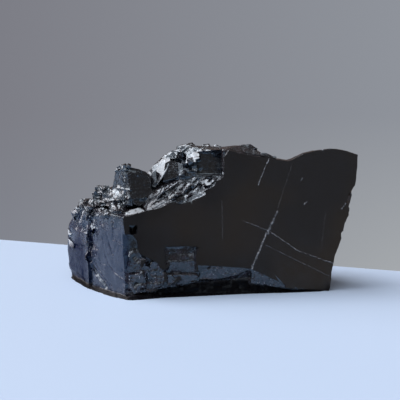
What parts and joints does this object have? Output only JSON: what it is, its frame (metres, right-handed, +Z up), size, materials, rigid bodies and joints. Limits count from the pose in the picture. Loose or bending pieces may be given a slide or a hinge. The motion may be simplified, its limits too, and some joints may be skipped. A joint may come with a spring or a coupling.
{
  "type": "raw shungite stone",
  "caption": "Broken lump of glassy black carbon rock with one flat mirror-like front face, a chipped crest and a stepped back, standing on its flat underside.",
  "frame": {"origin": "middle of the stone's box, at the height of the surface that it stands on", "axes": "+X along the flat front face to its tall right-hand end, +Y into the stone away from that face, +Z up"},
  "size_m": [0.0812, 0.0408, 0.0414],
  "materials": {
    "shungite": "gloss"
  },
  "bodies": {
    "root": {"shungite_stone": "shungite"}
  },
  "joints": []
}
